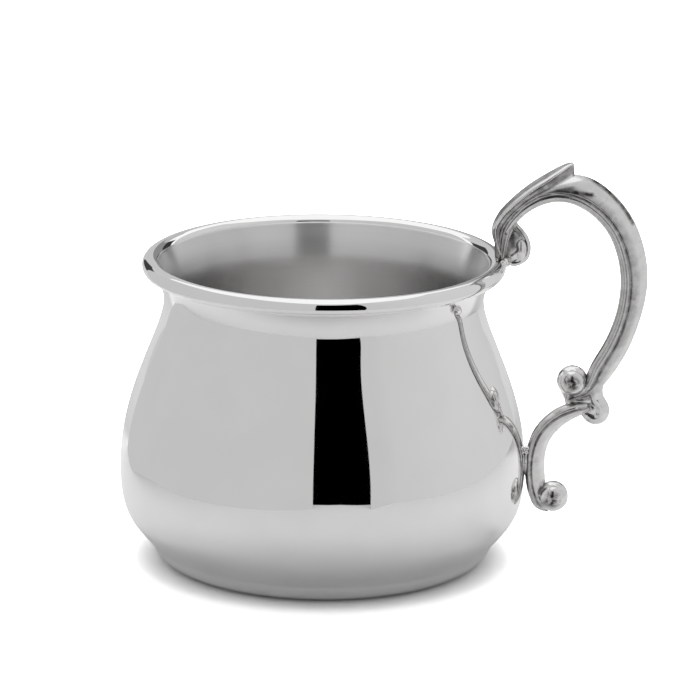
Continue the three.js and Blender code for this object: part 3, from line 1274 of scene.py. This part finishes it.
@dataclass
class Table:
    """The pale table. The camera sees it white, with a painted shadow right beside the cup, and darker in
    its shadow.
    """

    size: float = 8.0
    shade: float = 0.84
    mirrored_shade: float = 0.95
    mirrored_far_shade: float = 0.6
    far_from: float = 70 * MM
    far_to: float = 100 * MM
    seen_shade: float = 2.6
    closed_in_shade: float = 0.7
    closed_in_reach: float = 5 * MM
    closed_in_samples: int = 8
    closed_in_end: float = 52 * MM
    closed_in_fade: float = 1.15

    def material(self) -> bpy.types.Material:
        """The table's matt surface, which the camera, the cup's mirror and the light each see in a tone.

        Returns:
            The material.
        """
        shader = Shader("pale_table")
        path = shader.node("ShaderNodeLightPath")
        # Painted shadow: for the camera, darker where ambient occlusion finds the table closed in near the
        # cup
        near = shader.node("ShaderNodeAmbientOcclusion", {"samples": self.closed_in_samples},
                           {"Distance": self.closed_in_reach})
        away = shader.node("ShaderNodeVectorMath", {"operation": "LENGTH"}, {0: shader.place()})
        beyond = shader.value(away, "Value").between(self.closed_in_end,
                                                     self.closed_in_end * self.closed_in_fade)
        seen = shader.blend(shader.value(near, "AO") + beyond,
                            self._grey(self.closed_in_shade), self._grey(self.seen_shade))
        mirrored = shader.blend(shader.along("Y").between(self.far_from, self.far_to),
                                self._grey(self.mirrored_shade), self._grey(self.mirrored_far_shade))
        surface = self._matt(shader, self._grey(self.shade))
        for ray, colour in (("Is Glossy Ray", mirrored), ("Is Camera Ray", seen)):
            mixed = shader.node("ShaderNodeMixShader", {}, {
                0: path.outputs[ray], 1: surface, 2: self._matt(shader, colour)})
            surface = mixed.outputs[0]
        return shader.finish(mixed, "Shader")

    @staticmethod
    def _grey(shade: float) -> Colour:
        """A grey."""
        return (shade, shade, shade, 1)

    @staticmethod
    def _matt(shader: Shader, colour: Colour | Socket) -> Socket:
        """A matt surface's output."""
        return shader.node("ShaderNodeBsdfDiffuse", {}, {"Color": colour}).outputs["BSDF"]

    def build(self) -> None:
        """Makes the table."""
        shape = bmesh.new()
        bmesh.ops.create_grid(shape, x_segments=1, y_segments=1, size=self.size / 2)
        staged("table", shape, self.material(), True)


@dataclass(frozen=True)
class Card:
    """An upright card that the cup mirrors and that neither the camera nor the table sees."""

    name: str
    foot: Sequence[Point]
    low: float
    high: float
    shade: float

    def build(self) -> None:
        """Makes the card."""
        shader = Shader(self.name + "_tone")
        glow = shader.node("ShaderNodeEmission", {}, {"Strength": self.shade})
        shape = upright(self.foot, [self.high] * len(self.foot))
        bmesh.ops.translate(shape, vec=(0, 0, self.low), verts=[v for v in shape.verts if v.co.z == 0])
        card = staged(self.name, shape, shader.finish(glow, "Emission"), False)
        card.visible_diffuse = False


def far_foot(start: float, end: float) -> list[Point]:
    """The foot of a far card, in millimetres, between two angles in degrees round from the front."""
    turns = (math.radians(turn) for turn in (start, (start + end) / 2, end))
    return [(BACKDROP_DISTANCE * math.sin(turn), -BACKDROP_DISTANCE * math.cos(turn)) for turn in turns]


@dataclass
class LightTent:
    """Grey screens round the cup, open at the top and behind, and cards in front and far behind.

    A corner is its place in millimetres and the angle, in degrees, up to its top from the cup's axis at
    cup_height.
    """

    corners: Sequence[Station] = (
        (-95, 72, 40), (-88, 40, 48), (-102, 25, 53), (-112, 5, 58), (-111, -15, 61), (-105, -32, 63),
        (-96, -60, 63), (-82, -83, 63), (-65, -104, 62), (-35, -131, 60), (-4, -150, 58), (-8, -215, 58),
        (100, -195, 58), (61, -122, 58), (90, -127, 60), (111, -124, 61), (118, -106, 62), (133, -72, 62),
        (145, -35, 61), (154, 0, 60), (160, 40, 60), (145, 95, 58), (118, 140, 55),
    )
    cup_height: float = 50 * MM
    shade: float = 0.575
    right_shade: float = 0.66
    brightens_from: float = 75 * MM
    brightens_to: float = 175 * MM
    shade_for_table: float = 0.38
    cards: Sequence[Card] = (
        Card("dark_gap", ((-5.7, -186), (38, -182), (77, -151)), 0.0, 229 * MM, 0.0),
        Card("dark_edge_right", far_foot(140, 156), 20 * MM, 280 * MM, 0.035),
        Card("dim_backdrop", far_foot(156, 180), 0.0, 278 * MM, 0.26),
        Card("upper_backdrop", far_foot(156, 180), 278 * MM, 420 * MM, 0.5),
        Card("pale_backdrop", far_foot(180, 205), 0.0, 380 * MM, 0.58),
        Card("low_backdrop", far_foot(205, 240), 0.0, 50 * MM, 0.6),
        Card("dark_edge_left", far_foot(205, 233), 50 * MM, 237 * MM, 0.05),
        Card("upper_edge_left", far_foot(203, 233), 237 * MM, 380 * MM, 0.6),
    )

    def screen_material(self) -> bpy.types.Material:
        """The screens' glow: brighter to the right, and dimmer for the light that they throw on the table.

        Returns:
            The material.
        """
        shader = Shader("screen_grey")
        rightness = shader.along("X").between(self.brightens_from, self.brightens_to)
        mirrored = rightness * (self.right_shade - self.shade) + self.shade
        thrown = shader.value(shader.node("ShaderNodeLightPath"), "Is Diffuse Ray")
        glow = shader.node("ShaderNodeEmission", {}, {
            "Color": WHITE, "Strength": mirrored + thrown * (self.shade_for_table - mirrored)})
        return shader.finish(glow, "Emission")

    def build(self) -> None:
        """Makes the screens and the cards."""
        foot = [(x, y) for x, y, _ in self.corners]
        tops = [self.cup_height + math.hypot(x, y) * MM * math.tan(math.radians(angle))
                for x, y, angle in self.corners]
        staged("grey_screens", upright(foot, tops), self.screen_material(), False)
        for card in self.cards:
            card.build()


@dataclass
class Studio:
    """The world's even light and the camera at the photograph's angle."""

    image_size: float = 700.0
    sensor: float = 36.0
    focal_pixels: float = 4514.6
    distance: float = 800.4 * MM
    height: float = 259.3 * MM
    turn: float = math.radians(3.0)
    tilt: float = 0.2685
    pan: float = 0.0061
    roll: float = 0.0094
    nearest: float = 50 * MM
    world_strength: float = 1.0
    lamp_height: float = 0.75
    lamp_back: float = 0.28
    lamp_size: float = 0.4
    lamp_power: float = 1.3

    def build(self) -> None:
        """Makes the world, the soft lamp overhead and the camera."""
        world = bpy.data.worlds.new("even_light")
        world.use_nodes = True
        background = world.node_tree.nodes["Background"]
        background.inputs["Color"].default_value = WHITE
        background.inputs["Strength"].default_value = self.world_strength
        bpy.context.scene.world = world
        bpy.context.scene.view_settings.view_transform = "Standard"
        light = bpy.data.lights.new("soft_top", "AREA")
        light.size = self.lamp_size
        light.energy = self.lamp_power
        lamp = bpy.data.objects.new("soft_top", light)
        lamp.location = (0, self.lamp_back, self.lamp_height)
        lamp.visible_glossy = False
        bpy.context.scene.collection.objects.link(lamp)
        lens = bpy.data.cameras.new("camera")
        lens.sensor_width = self.sensor
        lens.lens = self.focal_pixels / self.image_size * self.sensor
        lens.clip_start = self.nearest
        camera = bpy.data.objects.new("camera", lens)
        bpy.context.scene.collection.objects.link(camera)
        camera.matrix_world = self._stand()
        bpy.context.scene.camera = camera

    def _stand(self) -> Matrix:
        """Where the camera stands and how it is turned.

        Returns:
            The camera's matrix.
        """
        ahead = Vector((math.sin(self.pan) * math.cos(self.tilt), math.cos(self.pan) * math.cos(self.tilt),
                        -math.sin(self.tilt)))
        level = Vector((math.cos(self.pan), -math.sin(self.pan), 0))
        upright = level.cross(ahead)
        right = math.cos(self.roll) * level + math.sin(self.roll) * upright
        up = math.cos(self.roll) * upright - math.sin(self.roll) * level
        turned = Matrix((right, up, -ahead)).transposed().to_4x4()
        turned.translation = Vector((0, -self.distance, self.height))
        return Matrix.Rotation(self.turn, 4, "Z") @ turned


def write_sizes() -> None:
    """Updates the view layer."""
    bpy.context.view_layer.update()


def main() -> None:
    """Builds the stage and the cup, and reports each piece."""
    logging.basicConfig(level=logging.INFO, format="%(name)s: %(message)s")
    Studio().build()
    Table().build()
    LightTent().build()
    drawing = HandleDrawing()
    CupBody().build()
    RimBead().build()
    UpperScroll(drawing).build()
    ThumbLeaf(drawing).build()
    LowerScroll(drawing).build()
    BallEnd("upper_ball_cast", "upper_ball").build()
    BallEnd("lower_ball_cast", "lower_ball").build()
    SolderJoint("rim_solder_run", "rim_solder", RIM_LUMPS).build()
    SolderJoint("belly_solder_run", "belly_solder", BELLY_LUMPS).build()
    write_sizes()


if __name__ == "__main__":
    main()
